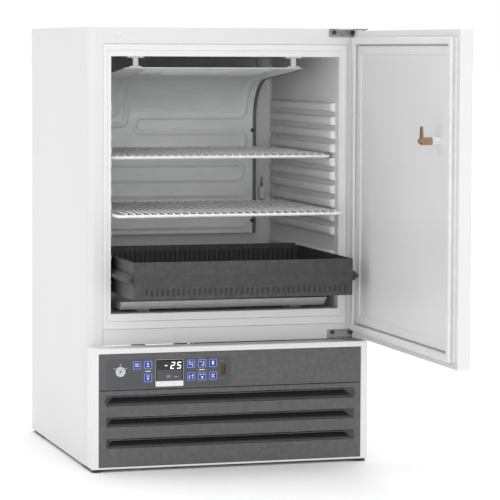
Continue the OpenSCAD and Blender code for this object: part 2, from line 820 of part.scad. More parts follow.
// Magnetic seal: a foot, a narrow neck and the soft part that meets the cabinet.
module door_gasket() {
    a = rim_w + 0.5;
    y = door_in_y + 0.05;
    h = gasket_h - 0.05;
    color("white") on_open_door() union() {
        frame_ring(door_rect(a), door_rect(a + gasket_w), y, y + 0.4 * h);
        frame_ring(door_rect(a + 3), door_rect(a + gasket_w - 3), y + 0.3 * h, y + 0.7 * h);
        frame_ring(door_rect(a), door_rect(a + gasket_w), y + 0.55 * h, y + h);
    }
}

module door_bushes() {
    color("gray") on_open_door() for (z = [door_top - bush_len, door_bottom + 0.1]) difference() {
        translate([pin_x, pin_y, z]) cylinder(r = bush_r, h = bush_len - 0.1);
        translate([pin_x, pin_y, z - 1]) cylinder(r = pin_r + 0.05, h = bush_len + 2);
    }
}

module lock_collar() {
    end = door_in_y + 3 + 13;
    color("white") on_open_door() difference() {
        union() {
            rod_y(lock_x, lock_z, door_out_y - 0.5, end, 7.5);
            rod_y(lock_x, lock_z, door_out_y - 1.5, door_out_y - 0.05, 11);
        }
        rod_y(lock_x, lock_z, door_out_y - 3, end + 1, lock_shaft_r + 0.05);
    }
}

// Lock barrel through the door, with the lever that turns on the inner side.
module lock_barrel() {
    start = door_in_y + 3 + 13.3;
    end = door_in_y + 3 + lock_reach;
    lever_t = 3;
    lever_len = 21;
    tip_r = 4.5;
    color("goldenrod") on_open_door() difference() {
        union() {
            rod_y(lock_x, lock_z, door_out_y - 1.8, start + 1, lock_shaft_r);
            rod_y(lock_x, lock_z, start, end - 4, 7);
            translate([lock_x, end - 4, lock_z]) rotate([90, 0, 0]) linear_extrude(lever_t) {
                polygon([[-7, 0], [-tip_r, lever_len], [tip_r, lever_len], [7, 0]]);
                circle(7);
                translate([0, lever_len]) circle(tip_r);
            }
            rod_y(lock_x, lock_z, end - 5, end, 4);
        }
        box([lock_x - 0.6, door_out_y - 3, lock_z - 3.6], [lock_x + 0.6, door_out_y + 6, lock_z + 3.6]);
    }
}

// ---------- shelves and drawer ----------

// Wire shelf: a heavy frame loop that lies on the band at band_z, and thinner wires across its top.
module wire_shelf(y_front, band_z) {
    frame_r = 3;
    corner_ball_r = 3.2;
    cross_r = 2;
    weld = 0.4;
    cross_weld = 0.7;
    deep = 372;
    side_x = 217;
    frame_z = band_z + band_h / 2 + 0.3 + frame_r;
    plane = frame_z + frame_r + wire_r - weld;
    y0 = y_front + frame_r;
    y1 = y_front + deep - frame_r;
    count = floor(2 * 205 / wire_pitch);
    x_first = -count * wire_pitch / 2;
    color("white") union() {
        for (y = [y0, y1]) rod_x(y, frame_z, -side_x, side_x, frame_r);
        for (s = [-1, 1]) {
            rod_y(s * side_x, frame_z, y0, y1, frame_r);
            for (y = [y0, y1]) translate([s * side_x, y, frame_z]) sphere(corner_ball_r);
        }
        for (y = [y_front + 130, y_front + 250])
            rod_x(y, plane - wire_r - cross_r + cross_weld, 1 - side_x, side_x - 1, cross_r);
        for (k = [0:1:count]) rod_y(x_first + k * wire_pitch, plane, y0 - 1.3, y1 + 1.3, wire_r);
    }
}

module shelf_upper() {
    wire_shelf(frame_y + 35, upper_band_z);
}

module shelf_lower() {
    wire_shelf(frame_y + 35 - shelf_out, lower_band_z);
}

// Arrow-shaped rails beside the drawer, grooved for its tongues.
module tray_runners() {
    root = tray_half + 0.4;
    tip = open_half - 0.6;
    color("#383838") for (s = [0, 1]) mirror([s, 0, 0])
        translate([0, tray_back_y, 0]) rotate([90, 0, 0]) linear_extrude(tray_back_y - tray_front_y)
            polygon([[root, 352.6], [root + 2.5, 352.6], [tip, tongue_z - 1.5], [tip, tongue_z + 1.5],
                     [root + 2.5, 371.6], [root, 371.6], [root, tongue_z + 2.3], [root + 4.2, tongue_z + 2.3],
                     [root + 4.2, tongue_z - 2.3], [root, tongue_z - 2.3]]);
}

module tray() {
    ridge_z = 367;
    flute_pitch = 10;
    back_top = 399;
    color("#484848") difference() {
        union() {
            box([-tray_half, tray_front_y + 1.5, tray_z0], [tray_half, tray_back_y, ridge_z]);
            box([-tray_half, tray_front_y, ridge_z - 3], [tray_half, tray_back_y, tray_z1]);
            box([-tray_half + 8, tray_back_y - tray_wall, tray_z1 - 1],
                [tray_half - 8, tray_back_y, back_top]);
            for (s = [-1, 1])
                box([s * tray_half + (s > 0 ? -1 : -tongue_out), tray_front_y + 2, tongue_z - 2],
                    [s * tray_half + (s > 0 ? tongue_out : 1), tray_back_y - 2, tongue_z + 2]);
            for (x = [-190:flute_pitch:190])
                box([x - 2.5, tray_front_y + 0.6, 332], [x + 2.5, tray_front_y + 2, 345]);
        }
        difference() {
            box([-tray_half + tray_wall, tray_front_y + tray_wall + 1.5, tray_z0 + tray_wall],
                [tray_half - tray_wall, tray_back_y - tray_wall, tray_z1 + 20]);
            for (x = [-200:flute_pitch:200])
                box([x - 2, tray_back_y - tray_wall - 1, tray_z0 + 10], [x + 2, tray_back_y, tray_z1 - 4]);
            for (y = [tray_front_y + 14:flute_pitch:tray_back_y - 10], s = [-1, 1])
                box([s * (tray_half - tray_wall) - 1, y - 2, tray_z0 + 10],
                    [s * (tray_half - tray_wall) + 1, y + 2, tray_z1 - 4]);
        }
    }
}

// ---------- parts ----------

outer_shell();
back_panel();
lower_rail();
breaker_frame();
inner_liner();
insulation_foam();
evaporator_plate();
plate_hangers();
plate_screws();
sensor_clip();
temperature_probe();
drip_tray();
base_surround();
deck_sheet();
base_plate();
feet();
hinge_brackets();
hinge_pins();
hinge_screws();
hole_plugs();
compressor();
compressor_mounts();
terminal_box();
condenser();
fan_motor();
fan_blade();
evaporation_pan();
power_inlet();
suction_pipe();
control_strip();
keypad_overlay();
display_bezel();
display_digits();
circuit_board();
card_slot();
grille();
grille_screws();
key_switch_housing();
key_switch_barrel();
key_cap(0);  // key_1
key_cap(1);  // key_2
key_cap(2);  // key_3
key_cap(3);  // key_4
key_cap(4);  // key_5
key_cap(5);  // key_6
key_cap(6);  // key_7
key_cap(7);  // key_8
key_cap(8);  // key_9
door_shell();
door_liner();
door_foam();
door_gasket();
door_bushes();
lock_collar();
lock_barrel();
shelf_upper();
shelf_lower();
tray_runners();
tray();
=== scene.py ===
"""Looks of an under-bench laboratory freezer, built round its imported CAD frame.

Lengths named *_mm are millimetres; mm() turns them into Blender's metres. Front is -Y, up is +Z.
"""
import math

import bmesh
import bpy
import numpy as np
from mathutils import Matrix, Vector
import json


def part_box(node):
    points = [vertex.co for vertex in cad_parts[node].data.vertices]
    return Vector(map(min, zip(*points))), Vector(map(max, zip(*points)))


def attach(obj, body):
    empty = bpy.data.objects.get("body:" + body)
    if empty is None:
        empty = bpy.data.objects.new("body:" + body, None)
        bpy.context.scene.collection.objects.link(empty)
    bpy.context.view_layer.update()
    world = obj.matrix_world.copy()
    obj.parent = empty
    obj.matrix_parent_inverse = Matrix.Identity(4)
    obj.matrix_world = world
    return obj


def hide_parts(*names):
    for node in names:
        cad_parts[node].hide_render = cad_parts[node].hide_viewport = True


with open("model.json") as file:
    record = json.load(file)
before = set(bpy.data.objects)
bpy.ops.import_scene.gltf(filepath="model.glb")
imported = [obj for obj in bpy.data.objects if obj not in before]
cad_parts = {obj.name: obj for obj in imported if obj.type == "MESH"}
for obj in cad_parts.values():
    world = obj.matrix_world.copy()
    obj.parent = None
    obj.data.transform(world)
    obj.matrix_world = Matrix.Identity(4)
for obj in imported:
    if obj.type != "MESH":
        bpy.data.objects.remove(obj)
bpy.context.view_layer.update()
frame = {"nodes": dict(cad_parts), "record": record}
nodes = frame["nodes"]


def mm(*values):
    """Millimetres to metres, as a Vector for three values and a number for one."""
    scaled = [v / 1000 for v in values]
    return scaled[0] if len(scaled) == 1 else Vector(scaled)


# ---------- materials ----------

class Graph:
    """A small helper round one material's node tree."""

    def __init__(self, name):
        self.material = bpy.data.materials.new(name)
        self.material.use_nodes = True
        self.tree = self.material.node_tree
        self.shader = self.tree.nodes["Principled BSDF"]
        self.place = self.add("ShaderNodeTexCoord").outputs["Object"]

    def add(self, kind, **settings):
        node = self.tree.nodes.new(kind)
        for key, value in settings.items():
            setattr(node, key, value)
        return node

    def join(self, source, target):
        self.tree.links.new(source, target)

    def noise(self, scale, detail=3.0, stretch=(1, 1, 1)):
        mapping = self.add("ShaderNodeMapping")
        mapping.inputs["Scale"].default_value = stretch
        self.join(self.place, mapping.inputs["Vector"])
        noise = self.add("ShaderNodeTexNoise")
        noise.inputs["Scale"].default_value = scale
        noise.inputs["Detail"].default_value = detail
        self.join(mapping.outputs["Vector"], noise.inputs["Vector"])
        return noise.outputs["Fac"]

    def spread(self, value, low, high, start=0.35, end=0.65):
        ranged = self.add("ShaderNodeMapRange")
        ranged.inputs["From Min"].default_value = start
        ranged.inputs["From Max"].default_value = end
        ranged.inputs["To Min"].default_value = low
        ranged.inputs["To Max"].default_value = high
        self.join(value, ranged.inputs["Value"])
        return ranged.outputs["Result"]

    def mix(self, factor, first, second):
        """Mixes two colours; each may be a colour or a socket."""
        mixed = self.add("ShaderNodeMix", data_type="RGBA")
        self.join(factor, mixed.inputs["Factor"])
        for socket, value in ((mixed.inputs[6], first), (mixed.inputs[7], second)):
            if isinstance(value, bpy.types.NodeSocket):
                self.join(value, socket)
            else:
                socket.default_value = (*value[:3], 1)
        return mixed.outputs[2]

    def bump(self, height, strength, distance):
        bump = self.add("ShaderNodeBump")
        bump.inputs["Strength"].default_value = strength
        bump.inputs["Distance"].default_value = distance
        self.join(height, bump.inputs["Height"])
        self.join(bump.outputs["Normal"], self.shader.inputs["Normal"])

    def edges(self, low=0.52, high=0.6):
        """High on outer edges and corners."""
        return self.spread(self.add("ShaderNodeNewGeometry").outputs["Pointiness"], 0, 1, low, high)


def shade(color, factor):
    return tuple(c * factor for c in color)


def surface(name, color, roughness, metallic=0.0, grain=900.0, relief=0.00004, strength=0.2,
            mottle=0.05, patch=14.0, stretch=(1, 1, 1), wear=None, wear_amount=0.3, **shader):
    """A material with fine grain, broad mottling, uneven gloss and worn edges."""
    g = Graph(name)
    broad = g.noise(patch, 4)
    fine = g.noise(grain, 3, stretch)
    tone = g.mix(g.spread(broad, 0, 1), shade(color, 1 - mottle), shade(color, 1 + mottle))
    tone = g.mix(g.spread(fine, 0, 0.35, 0.3, 0.7), tone, shade(color, 1 - 1.2 * mottle))
    if wear:
        scratch = g.spread(g.noise(90, 5), 0, wear_amount, 0.4, 0.7)
        mask = g.add("ShaderNodeMath", operation="MULTIPLY")
        g.join(scratch, mask.inputs[0])
        g.join(g.edges(), mask.inputs[1])
        tone = g.mix(mask.outputs[0], tone, wear)
    g.join(tone, g.shader.inputs["Base Color"])
    g.join(g.spread(broad, roughness * 0.88, min(1, roughness * 1.12)), g.shader.inputs["Roughness"])
    g.bump(fine, strength, relief)
    g.shader.inputs["Metallic"].default_value = metallic
    for key, value in shader.items():
        g.shader.inputs[key.replace("_", " ")].default_value = value
    return g.material


def clear_plastic(name, color, roughness):
    """Thin clear moulding: mostly see-through, hazier in patches."""
    g = Graph(name)
    haze = g.noise(30, 4)
    g.join(g.mix(g.spread(haze, 0, 1), color, shade(color, 0.93)), g.shader.inputs["Base Color"])
    g.join(g.spread(haze, roughness, roughness * 2.2), g.shader.inputs["Roughness"])
    g.bump(g.noise(260, 2), 0.12, 0.00005)
    g.shader.inputs["Transmission Weight"].default_value = 0.6
    g.shader.inputs["IOR"].default_value = 1.35
    return g.material


def frosted_sheet(name, color):
    """Rolled aluminium with a thin bloom of frost in patches."""
    g = Graph(name)
    rolled = g.noise(500, 3, (0.05, 1, 1))
    frost = g.noise(9, 6)
    speck = g.noise(1400, 2)
    metal = g.mix(g.spread(rolled, 0, 1), shade(color, 0.94), shade(color, 1.04))
    tone = g.mix(g.spread(frost, 0, 0.7, 0.42, 0.68), metal, shade(color, 1.16))
    g.join(tone, g.shader.inputs["Base Color"])
    g.join(g.spread(frost, 0.42, 0.62), g.shader.inputs["Roughness"])
    g.shader.inputs["Metallic"].default_value = 0.1
    g.bump(speck, 0.12, 0.00004)
    return g.material


def lit_digits(name, color, power):
    g = Graph(name)
    glow = g.spread(g.noise(600, 2), 0.9, 1.0)
    g.join(g.mix(glow, shade(color, 0.85), color), g.shader.inputs["Base Color"])
    g.join(g.mix(glow, shade(color, 0.85), color), g.shader.inputs["Emission Color"])
    g.shader.inputs["Emission Strength"].default_value = power
    g.join(g.spread(g.noise(500, 2), 0.3, 0.45), g.shader.inputs["Roughness"])
    return g.material


WHITE = (0.655, 0.655, 0.66)
MAT = {
    "white_steel": surface("white_powder_coat", WHITE, 0.36, grain=700, relief=0.00006, strength=0.25,
                           mottle=0.012, patch=5, wear=(0.66, 0.66, 0.65), wear_amount=0.25),
    "door_steel": surface("door_powder_coat", (0.66, 0.665, 0.67), 0.34, grain=700, relief=0.00006,
                          strength=0.25, mottle=0.012, patch=4, wear=(0.66, 0.66, 0.65), wear_amount=0.25),
    "galvanised": surface("galvanised_sheet", (0.42, 0.43, 0.44), 0.42, metallic=0.85, grain=160,
                          relief=0.00003, mottle=0.05, patch=95, wear=(0.4, 0.4, 0.4)),
    "white_plastic": surface("white_moulding", (0.71, 0.71, 0.71), 0.38, grain=1200, mottle=0.015, patch=8,
                             wear=(0.68, 0.67, 0.65), wear_amount=0.3),
    "liner_plastic": surface("liner_polystyrene", (0.68, 0.68, 0.685), 0.33, grain=380, relief=0.00008,
                             strength=0.12, mottle=0.02, patch=6, wear=(0.82, 0.82, 0.82)),
    "foam": surface("insulating_foam", (0.78, 0.69, 0.42), 0.9, grain=260, relief=0.0006, strength=0.7,
                    mottle=0.1, patch=30),
    "evaporator_aluminium": frosted_sheet("rolled_aluminium", (0.74, 0.745, 0.75)),
    "zinc": surface("zinc_plate", (0.22, 0.22, 0.22), 0.28, metallic=0.95, grain=420, relief=0.00003,
                    mottle=0.06, patch=120, stretch=(0.1, 1, 1), wear=(0.85, 0.85, 0.85)),
    "clear_plastic": clear_plastic("clear_tray_plastic", (0.90, 0.91, 0.91), 0.1),
    "black_plastic": surface("black_moulding", (0.022, 0.022, 0.022), 0.5, grain=1100, mottle=0.15,
                             wear=(0.08, 0.08, 0.08)),
    "grey_plastic": surface("grey_moulding", (0.075, 0.075, 0.076), 0.46, grain=1500, relief=0.00005,
                            strength=0.3, mottle=0.015, patch=6, wear=(0.16, 0.16, 0.16)),
    "overlay_film": surface("overlay_film", (0.058, 0.062, 0.072), 0.5, grain=2200, relief=0.00003,
                            strength=0.3, mottle=0.03, patch=20),
    "display_black": surface("display_window", (0.010, 0.010, 0.011), 0.12, grain=500, relief=0.00001,
                             mottle=0.1, patch=60),
    "digit_white": lit_digits("lit_digits", (0.9, 0.92, 0.95), 1.2),
    "key_blue": surface("key_blue", (0.012, 0.03, 0.26), 0.42, grain=1800, mottle=0.05, patch=60),
    "board_green": surface("solder_mask", (0.015, 0.14, 0.05), 0.35, grain=700, mottle=0.2, patch=160),
    "card_brown": surface("card_contacts", (0.085, 0.058, 0.034), 0.5, grain=600, mottle=0.2, patch=120),
    "switch_metal": surface("switch_nickel", (0.50, 0.50, 0.50), 0.26, metallic=0.75, grain=900,
                            mottle=0.05, patch=120, wear=(0.85, 0.85, 0.85)),
    "seal_rubber": surface("seal_rubber", (0.68, 0.68, 0.68), 0.55, grain=700, relief=0.00006, mottle=0.03,
                           patch=20, wear=(0.55, 0.55, 0.54)),
    "brass": surface("lock_brass", (0.42, 0.27, 0.17), 0.32, metallic=0.9, grain=700, relief=0.00003,
                     mottle=0.1, patch=180, stretch=(0.1, 1, 1), wear=(0.6, 0.45, 0.33)),
    "coated_wire": surface("coated_wire", (0.78, 0.775, 0.765), 0.3, grain=900, mottle=0.03, patch=40,
                           wear=(0.6, 0.6, 0.59)),
    "tray_plastic": surface("tray_polystyrene", (0.030, 0.030, 0.031), 0.5, grain=900, relief=0.00005,
                            strength=0.25, mottle=0.02, patch=6, wear=(0.12, 0.12, 0.12)),
    "compressor_black": surface("compressor_enamel", (0.015, 0.015, 0.016), 0.3, grain=500, mottle=0.15,
                                wear=(0.12, 0.11, 0.1)),
    "black_rubber": surface("black_rubber", (0.02, 0.02, 0.02), 0.75, grain=800, relief=0.0001, mottle=0.15,
                            wear=(0.07, 0.07, 0.065)),
    "copper": surface("copper_tube", (0.62, 0.27, 0.13), 0.28, metallic=0.95, grain=600, mottle=0.12,
                      patch=90, wear=(0.35, 0.18, 0.1)),
}
KEY_LINE = surface("key_outline", (0.22, 0.36, 0.72), 0.45, grain=1800, mottle=0.05, patch=60)
PRINT_WHITE = surface("print_white", (0.74, 0.75, 0.76), 0.5, grain=2000, mottle=0.04, patch=60)
PRINT_GREY = surface("print_grey", (0.16, 0.165, 0.17), 0.5, grain=2000, mottle=0.06, patch=60)
PRINT_RED = surface("indicator_red", (0.20, 0.012, 0.012), 0.3, grain=1500, mottle=0.1, patch=80)
# Near-black for the grille hoods' deepest floor strip and the key switch's slot: painted shade in recesses.
PAINTED_GAP_SHADE = surface("painted_gap_shade", (0.012, 0.012, 0.012), 0.8, grain=800, mottle=0.15, patch=60)
# Mid dark grey for the grille hoods' middle floor strip: painted shade.
PAINTED_SHADE_GREY = surface("shaded_moulding", (0.040, 0.040, 0.041), 0.5, grain=1500, mottle=0.06, patch=10)
# Near-black painted shade for the grooves between the drawer's flutes.
TRAY_SHADE = surface("tray_shade", (0.014, 0.014, 0.014), 0.6, grain=900, mottle=0.1, patch=20)
# Dark grey for the evaporator sheet's side edges: painted shadow of the gap between the sheet's edge and the
# liner.
PAINTED_EDGE_SHADOW = surface("painted_edge_shadow", (0.17, 0.17, 0.17), 0.6, metallic=0.2, grain=500, mottle=0.06, patch=30)
PROBE_GREY = surface("probe_grey", (0.22, 0.22, 0.22), 0.45, grain=900, mottle=0.06, patch=60)
DARK_STEEL = surface("blackened_screw", (0.05, 0.05, 0.05), 0.35, metallic=0.6, grain=700, mottle=0.1,
                     patch=90, wear=(0.2, 0.2, 0.2))
BADGE_GREY = surface("badge_grey", (0.30, 0.31, 0.32), 0.45, metallic=0.6, grain=900, mottle=0.05, patch=60)

slot_of = {part["node"]: part["material_slot"] for part in frame["record"]["subparts"]}
body_of = {
    node: body for body, members in frame["record"]["behaviour"]["bodies"].items() for node in members
}
for name, cad_node in nodes.items():
    cad_node.data.materials.clear()
    cad_node.data.materials.append(MAT[slot_of[name]])


# ---------- piece helpers ----------

def piece(name, bm, node, replaced=(), materials=(), sharp=30, bevel=0.0, segments=2):
    """Turns a bmesh into a piece that rides with a CAD node's body and stands for the replaced nodes."""
    mesh = bpy.data.meshes.new(name)
    bm.normal_update()
    bm.to_mesh(mesh)
    bm.free()
    obj = bpy.data.objects.new(name, mesh)
    bpy.context.scene.collection.objects.link(obj)
    for material in materials or [MAT[slot_of[node]]]:
        mesh.materials.append(material)
    mesh.shade_smooth()
    mesh.set_sharp_from_angle(angle=math.radians(sharp))
    if bevel:
        rounding = obj.modifiers.new("rounding", "BEVEL")
        rounding.width = mm(bevel)
        rounding.segments = segments
        rounding.limit_method = "ANGLE"
        rounding.angle_limit = math.radians(sharp)
        rounding.use_clamp_overlap = True
        flat = obj.modifiers.new("flat_faces", "WEIGHTED_NORMAL")
        flat.keep_sharp = True
        flat.weight = 100
    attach(obj, body_of[node])
    if replaced:
        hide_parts(*replaced)
    return obj


def joined_faces(node):
    """A bmesh of a CAD node with its flat triangles joined into whole faces."""
    bm = bmesh.new()
    bm.from_mesh(nodes[node].data)
    bmesh.ops.remove_doubles(bm, verts=bm.verts, dist=1e-6)
    bmesh.ops.dissolve_limit(bm, angle_limit=math.radians(0.6), verts=bm.verts, edges=bm.edges)
    return bm


def rounded_copy(node, bevel, name=None, sharp=40, segments=2):
    """The CAD node's own shape with its edges rounded."""
    return piece(name or f"{node}_finished", joined_faces(node), node, [node], sharp=sharp, bevel=bevel,
                 segments=segments)


def recoloured_copy(node, bevel, material):
    """A rounded copy in a material other than its slot's."""
    return piece(f"{node}_finished", joined_faces(node), node, [node], [material], sharp=40, bevel=bevel,
                 segments=3)


def add_box(bm, low, high, material=0):
    """Adds a box between two corners given in millimetres."""
    lo, hi = Vector(low), Vector(high)
    made = bmesh.ops.create_cube(bm, size=1.0)["verts"]
    size = hi - lo
    bmesh.ops.scale(bm, vec=size / 1000, verts=made)
    bmesh.ops.translate(bm, vec=(lo + hi) / 2000, verts=made)
    for face in {f for v in made for f in v.link_faces}:
        face.material_index = material
    return made


def add_tube(bm, points, radius, sides=10, material=0):
    """Adds a round bar along points, all in millimetres, with closed ends."""
    path = [Vector(p) / 1000 for p in points]
    rings = []
    normal = None
    for i, point in enumerate(path):
        ahead = path[min(i + 1, len(path) - 1)] - path[max(i - 1, 0)]
        ahead.normalize()
        if normal is None:
            normal = ahead.orthogonal().normalized()
        normal = (normal - ahead * normal.dot(ahead)).normalized()
        side = ahead.cross(normal)
        ring = []
        for k in range(sides):
            angle = 2 * math.pi * k / sides
            offset = normal * math.cos(angle) + side * math.sin(angle)
            ring.append(bm.verts.new(point + offset * mm(radius)))
        rings.append(ring)
    for first, second in zip(rings, rings[1:]):
        for k in range(sides):
            face = bm.faces.new((first[k], first[(k + 1) % sides], second[(k + 1) % sides], second[k]))
            face.material_index = material
    for ring in (list(reversed(rings[0])), rings[-1]):
        bm.faces.new(ring).material_index = material


def arc(centre, radius, start, end, steps):
    """Points of an arc in a plane, as (a, b) pairs, angles in degrees."""
    return [
        (centre[0] + radius * math.cos(math.radians(start + (end - start) * i / steps)),
         centre[1] + radius * math.sin(math.radians(start + (end - start) * i / steps)))
        for i in range(steps + 1)
    ]


def rounded_outline(cx, cz, width, height, radius, steps=5):
    """Corner-rounded rectangle as (x, z) points, counter-clockwise seen from the front."""
    points = []
    for sx, sz, turn in ((1, -1, -90), (1, 1, 0), (-1, 1, 90), (-1, -1, 180)):
        centre = (cx + sx * (width / 2 - radius), cz + sz * (height / 2 - radius))
        points += arc(centre, radius, turn, turn + 90, steps)
    return points


def add_slab(bm, outline, y_front, y_back, material=0, hole=None):
    """Adds a plate in the XZ plane from an outline, optionally with a hole of the same point count."""
    def ring(points, y):
        return [bm.verts.new(mm(x, y, z)) for x, z in points]

    front, back = ring(outline, y_front), ring(outline, y_back)
    count = len(outline)
    faces = []
    for k in range(count):
        faces.append(bm.faces.new((front[k], front[(k + 1) % count], back[(k + 1) % count], back[k])))
    if hole is None:
        faces.append(bm.faces.new(list(reversed(front))))
        faces.append(bm.faces.new(back))
    else:
        inner_front, inner_back = ring(hole, y_front), ring(hole, y_back)
        for k in range(count):
            n = (k + 1) % count
            faces.append(bm.faces.new((front[n], front[k], inner_front[k], inner_front[n])))
            faces.append(bm.faces.new((back[k], back[n], inner_back[n], inner_back[k])))
            faces.append(bm.faces.new((inner_front[n], inner_front[k], inner_back[k], inner_back[n])))
    for face in faces:
        face.material_index = material
    return faces


def box_mm(node):
    """A CAD node's lowest and highest corners in millimetres."""
    low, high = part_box(node)
    return low * 1000, high * 1000


# ---------- places taken from the frame ----------

liner_low, liner_high = box_mm("inner_liner")
WALL = 1.5
OPEN_HALF = liner_high.x - WALL
FLOOR_Z, ROOF_Z = liner_low.z + WALL, liner_high.z - WALL
FRONT_Y, BACK_Y = liner_low.y, liner_high.y - WALL
PANEL_Y = box_mm("keypad_overlay")[0].y


# ---------- cabinet ----------

for node_name, edge in (("outer_shell", 0.5), ("lower_rail", 0.4), ("breaker_frame", 1.6),
                        ("back_panel", 0.25), ("base_surround", 1.5), ("feet", 1.5), ("hole_plugs", 0.5),
                        ("deck_sheet", 0.3), ("base_plate", 0.4), ("power_inlet", 0.6)):
    rounded_copy(node_name, edge, segments=3)


def build_liner():
    """Moulded liner with soft corners. Its raised bands are a piece of their own."""
    bm = bmesh.new()
    corner, back_round, steps = 5.0, 8.0, 5
    centre_z = (FLOOR_Z + ROOF_Z) / 2

    def loop(y, inset):
        outline = rounded_outline(0, centre_z, 2 * (OPEN_HALF - inset), ROOF_Z - FLOOR_Z - 2 * inset,
                                  max(corner - inset * 0.3, 1.0))
        return [bm.verts.new(mm(x, y, z)) for x, z in outline]

    stations = [(FRONT_Y, -1.2), (FRONT_Y, 0.0)]
    for i in range(steps + 1):
        angle = math.pi / 2 * i / steps
        stations.append((BACK_Y - back_round * (1 - math.sin(angle)), back_round * (1 - math.cos(angle))))
    loops = [loop(y, inset) for y, inset in stations]
    for first, second in zip(loops, loops[1:]):
        count = len(first)
        for k in range(count):
            n = (k + 1) % count
            bm.faces.new((first[k], second[k], second[n], first[n]))
    bm.faces.new(list(reversed(loops[-1])))
    bmesh.ops.recalc_face_normals(bm, faces=bm.faces)
    if bm.faces[0].normal.y > 0:
        bmesh.ops.reverse_faces(bm, faces=bm.faces)
    shell = piece("liner_moulding", bm, "inner_liner", ["inner_liner"], sharp=40)
    wall = shell.modifiers.new("wall", "SOLIDIFY")
    wall.thickness = mm(WALL * 0.9)
    wall.offset = -1
    return shell


RIB_OUT = 9.0
RIB_FRONT, RIB_BACK = FRONT_Y + 4.8, BACK_Y - 18.5
BAND_HEIGHT, BAND_TOP, BAND_PITCH, BAND_COUNT = 16.6, 670.6, 26.2, 10
DRAWER_RIBS, DRAWER_RIB_HEIGHT = (391.0, 346.0), 11.0


def add_rib(bm, side, z, height):
    """A raised band on one side wall, with a flat crest, soft edges and rounded ends."""
    sections = []
    tail = 5.0
    for y in np.concatenate([np.linspace(0, 1, 7) ** 2 * RIB_OUT + RIB_FRONT,
                             [RIB_BACK - 14, RIB_BACK - 6], RIB_BACK - tail + tail * np.linspace(0, 1, 4)]):
        ahead = min(1.0, (y - RIB_FRONT) / RIB_OUT)
        behind = min(1.0, (RIB_BACK - y) / tail)
        out = RIB_OUT * math.sqrt(max(0, 1 - (1 - ahead) ** 2)) * math.sqrt(max(0, 1 - (1 - behind) ** 2))
        ring = []
        for i in range(13):
            turn = math.pi * i / 12
            crest = (1 - abs(math.cos(turn)) ** 4.5) ** (1 / 4.5)
            ring.append(bm.verts.new(mm(side * (OPEN_HALF + 0.3 - (out + 0.3) * crest), y,
                                        z + height / 2 * math.cos(turn))))
        sections.append(ring)
    for first, second in zip(sections, sections[1:]):
        for a, b, c, d in zip(first, first[1:], second[1:], second):
            bm.faces.new((a, b, c, d))


def build_ribs():
    """Bands with the shelf grooves between them, the drawer's ribs and the low strips at the back."""
    bm = bmesh.new()
    levels = [(BAND_TOP - k * BAND_PITCH, BAND_HEIGHT) for k in range(BAND_COUNT)]
    levels += [(z, DRAWER_RIB_HEIGHT) for z in DRAWER_RIBS]
    strip_out, strip_width = 2.6, 8.0
    low = BAND_TOP - (BAND_COUNT - 1) * BAND_PITCH
    for side in (-1, 1):
        for z, height in levels:
            add_rib(bm, side, z, height)
        x0, x1 = sorted((side * (OPEN_HALF - strip_out), side * (OPEN_HALF + 0.5)))
        made = add_box(bm, (x0, RIB_BACK - strip_width - 1, low), (x1, RIB_BACK - 1, BAND_TOP))
        edges = {e for v in made for e in v.link_edges}
        bmesh.ops.bevel(bm, geom=list(edges), offset=mm(2), segments=2, affect="EDGES", profile=0.5)
    bmesh.ops.recalc_face_normals(bm, faces=bm.faces)
    return piece("liner_ribs", bm, "inner_liner", sharp=50)


build_liner()
build_ribs()


# ---------- evaporator ----------

PLATE_LOW, PLATE_HIGH = box_mm("evaporator_plate")
PLATE_HALF = PLATE_HIGH.x
PLATE_T = 2.0
TILT = math.radians(5.3)
BEND_R = 85.0
BEND_Y = PLATE_HIGH.y - BEND_R
ROOF_LEN = (BEND_Y + BEND_R * math.sin(TILT) - PLATE_LOW.y) / math.cos(TILT) - 0.4
BEND_Z = PLATE_HIGH.z - BEND_R * math.cos(TILT) - ROOF_LEN * math.sin(TILT)
BEND_LEN = (BEND_R - PLATE_T) * (math.pi / 2 - TILT)
CHANNEL_HALF, CHANNEL_HIGH, CHANNEL_SLOPE = 4.3, 2.4, 1.3
# Width of the painted shadow strip along each side edge of the evaporator sheet.
EDGE_SHADOW_WIDTH = 7.0


def rounded_turn(points, radius, steps=6):
    """Rounds the inner corners of a line of points."""
    out = [points[0]]
    for before, here, after in zip(points, points[1:], points[2:]):
        p, q, r = (np.array(v, float) for v in (before, here, after))
        a, b = (p - q) / np.linalg.norm(p - q), (r - q) / np.linalg.norm(r - q)
        for t in np.linspace(0, 1, steps + 1):
            out.append(tuple(q + a * radius * (1 - t) ** 2 + b * radius * t ** 2))
    return out + [points[-1]]


def down_to(z):
    """Distance along the sheet from its front edge to a height on the back part."""
    return ROOF_LEN + BEND_LEN + BEND_Z - z


def channel_lines():
    """The pressed channels as (across, along) lines, along measured from the front edge over the bend."""
    pitch, right, left = 32.0, 154.0, -152.0
    top_run = 643.0
    snake = [(right + 4, 60), (right + 4, down_to(top_run)), (-74, down_to(top_run)),
             (-74, down_to(top_run - pitch)), (right + 4, down_to(top_run - pitch)),
             (right + 4, down_to(top_run - 2 * pitch))]
    side = left
    for k in range(2, 7):
        z = top_run - k * pitch
        snake += [(side, down_to(z)), (side, down_to(z - pitch))]
        side = right if side == left else left
    snake.append((side, down_to(top_run - 7 * pitch)))
    inlet = [(-92, 70), (-92, down_to(627)), (-PLATE_HALF + 7, down_to(627))]
    outlet = [(-112, 100), (-112, down_to(647)), (-PLATE_HALF + 7, down_to(647))]
    roof = [(-130, 30), (120, 30), (120, 62), (-130, 62), (-130, 94), (120, 94), (120, 126), (-70, 126)]
    return [rounded_turn(snake, 15), rounded_turn(inlet, 16), rounded_turn(outlet, 16),
            rounded_turn(roof, 15)]


